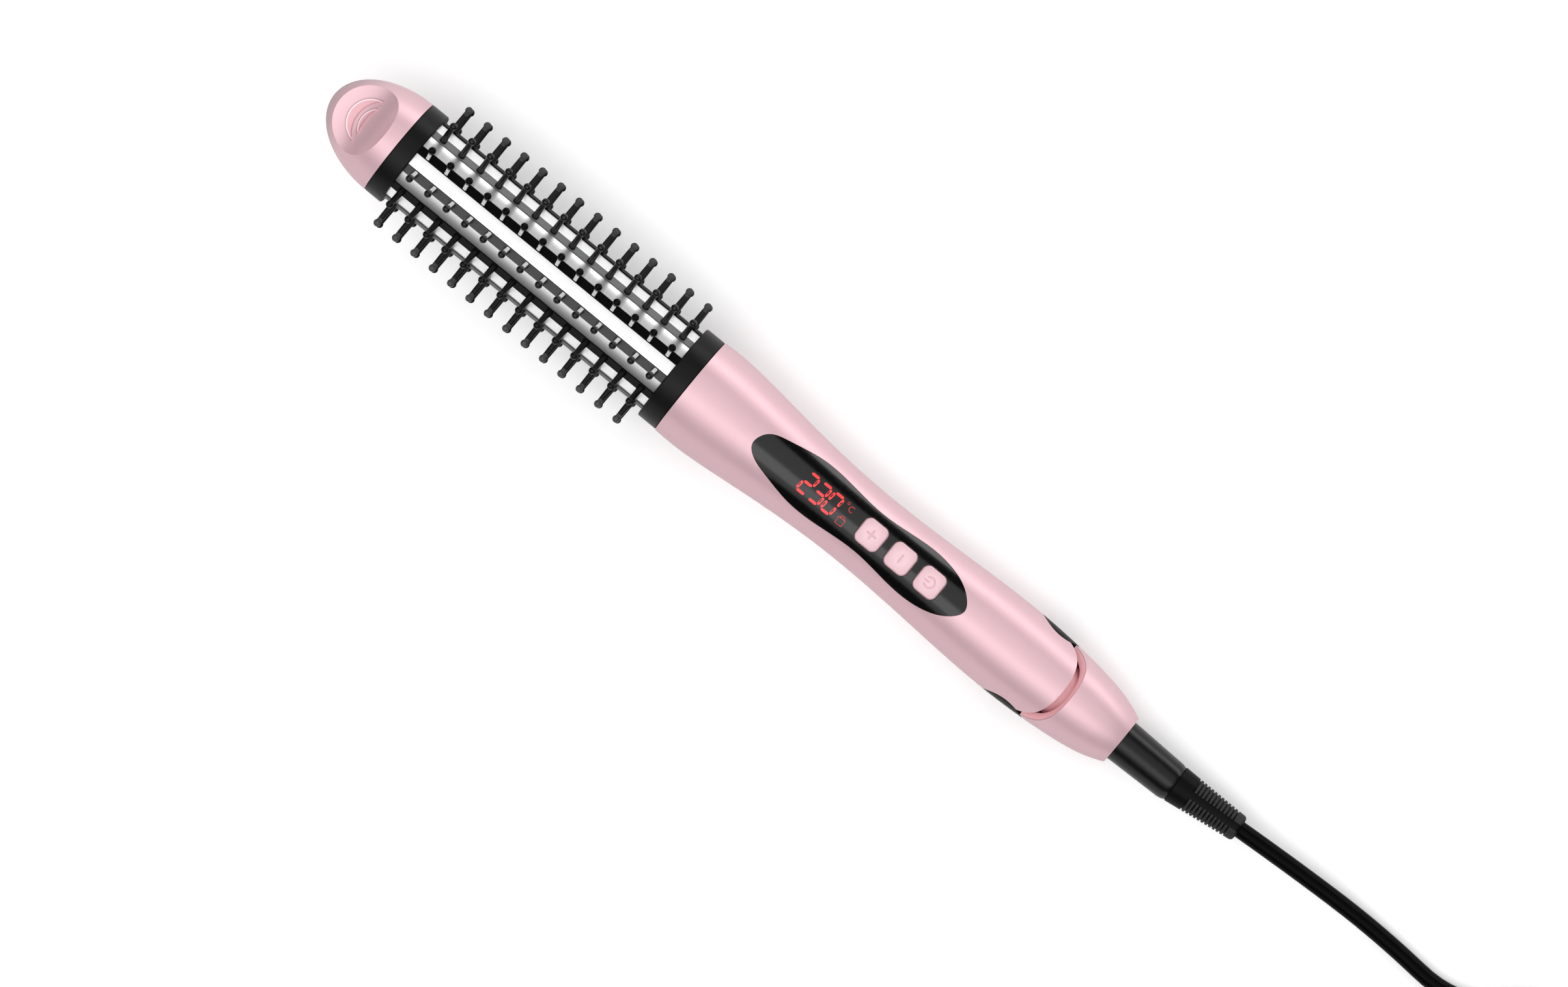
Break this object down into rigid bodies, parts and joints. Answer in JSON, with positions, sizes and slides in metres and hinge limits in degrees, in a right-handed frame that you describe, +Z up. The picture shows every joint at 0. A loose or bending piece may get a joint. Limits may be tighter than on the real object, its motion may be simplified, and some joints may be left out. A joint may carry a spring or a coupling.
{
  "type": "hair multistyler",
  "caption": "Hot-brush barrel and straightener in one: two hinged arms close into a round barrel with pin combs; handle with display, buttons, swivel cord and plug.",
  "frame": {"origin": "bottom centre of the bounding box of the tool without its cord, tie and plug; the tool lies on the floor on its last lower pins and the rear bulge of its handle", "axes": "+X from the tip to the tail, level with the floor, +Y across the tool, +Z up, out of the display side; the tool's own axis dips 3.6 degrees towards the tail"},
  "size_m": [0.561, 0.078, 0.0536],
  "materials": {
    "pink_shell": "satin pearl pink paint on plastic",
    "pink_button": "satin light pink",
    "coral": "satin coral",
    "black_plastic": "satin black",
    "comb_black": "satin black heat-resistant nylon",
    "gloss_black": "high gloss black",
    "polished_metal": "bright polished plating",
    "coated_plate": "ceramic-coated",
    "heater_ceramic": "white ceramic",
    "tray_plastic": "heat-resistant plastic",
    "sensor": "glazed",
    "circuit_board": "green solder mask",
    "display_red": "red segments behind a dark window",
    "switch_grey": "moulded",
    "steel": "plain steel",
    "brass": "bare",
    "pin_plating": "nickel plated",
    "wire_sleeve": "silicone",
    "cord_rubber": "satin black",
    "tie_black": "matt black",
    "plug_black": "satin black"
  },
  "bodies": {
    "root": {"tip_cap_lower": "pink_shell", "front_ring_lower": "black_plastic", "rear_ring_lower": "black_plastic", "barrel_lower": "polished_metal", "comb_lower_1": "comb_black", "comb_lower_2": "comb_black", "comb_lower_3": "comb_black", "comb_lower_4": "comb_black", "comb_lower_5": "comb_black", "comb_lower_6": "comb_black", "heating_plate_lower": "coated_plate", "heater_lower": "heater_ceramic", "heater_tray_lower": "tray_plastic", "thermal_fuse": "sensor", "inner_cover_lower": "black_plastic", "screws_lower": "steel", "handle_lower": "pink_shell", "power_board": "circuit_board", "hinge_pin": "steel", "hub_cap_left": "gloss_black", "hub_cap_right": "gloss_black", "hinge_spring": "steel", "gap_collar": "coral", "swivel_sleeve": "gloss_black", "contact_brushes": "brass", "lead_wires_lower": "wire_sleeve", "cord_run": "cord_rubber", "cord_coil": "cord_rubber", "cord_tail": "cord_rubber", "cord_tie": "tie_black", "plug_body": "plug_black", "plug_pins": "pin_plating"},
    "upper_arm": {"tip_cap_upper": "pink_shell", "front_ring_upper": "black_plastic", "rear_ring_upper": "black_plastic", "barrel_upper": "polished_metal", "comb_upper_1": "comb_black", "comb_upper_2": "comb_black", "comb_upper_3": "comb_black", "comb_upper_4": "comb_black", "comb_upper_5": "comb_black", "comb_upper_6": "comb_black", "heating_plate_upper": "coated_plate", "heater_upper": "heater_ceramic", "heater_tray_upper": "tray_plastic", "thermistor": "sensor", "inner_cover_upper": "black_plastic", "screws_upper": "steel", "handle_upper": "pink_shell", "display_panel": "gloss_black", "control_board": "circuit_board", "display_module": "display_red", "tact_switches": "switch_grey", "lead_wires_upper": "wire_sleeve"},
    "button_plus": {"button_plus": "pink_button"},
    "button_minus": {"button_minus": "pink_button"},
    "button_power": {"button_power": "pink_button"},
    "lock_slider": {"lock_slider": "pink_shell"},
    "cable_guard": {"cable_guard": "gloss_black", "slip_rings": "brass"}
  },
  "joints": [
    {"name": "arm_hinge", "type": "hinge", "parent": "root", "child": "upper_arm", "pos_m": [0.09781, 0, 0.01321], "axis": [0, 1, 0], "range_deg": [0, 10]},
    {"name": "button_plus_press", "type": "slide", "parent": "upper_arm", "child": "button_plus", "axis": [-0.0632, 0, -0.998], "range_m": [0, 0.0006], "stiffness_N_per_m": 400, "springref_m": -0.002},
    {"name": "button_minus_press", "type": "slide", "parent": "upper_arm", "child": "button_minus", "axis": [-0.0632, 0, -0.998], "range_m": [0, 0.0006], "stiffness_N_per_m": 400, "springref_m": -0.002},
    {"name": "button_power_press", "type": "slide", "parent": "upper_arm", "child": "button_power", "axis": [-0.0632, 0, -0.998], "range_m": [0, 0.0006], "stiffness_N_per_m": 400, "springref_m": -0.002},
    {"name": "lock_slide", "type": "slide", "parent": "root", "child": "lock_slider", "axis": [0.998, 0, -0.0632], "range_m": [0, 0.004]},
    {"name": "cable_swivel", "type": "hinge", "parent": "root", "child": "cable_guard", "pos_m": [0.15189, 0, 0.01109], "axis": [0.9956, 0.0698, -0.0631], "continuous": true}
  ]
}
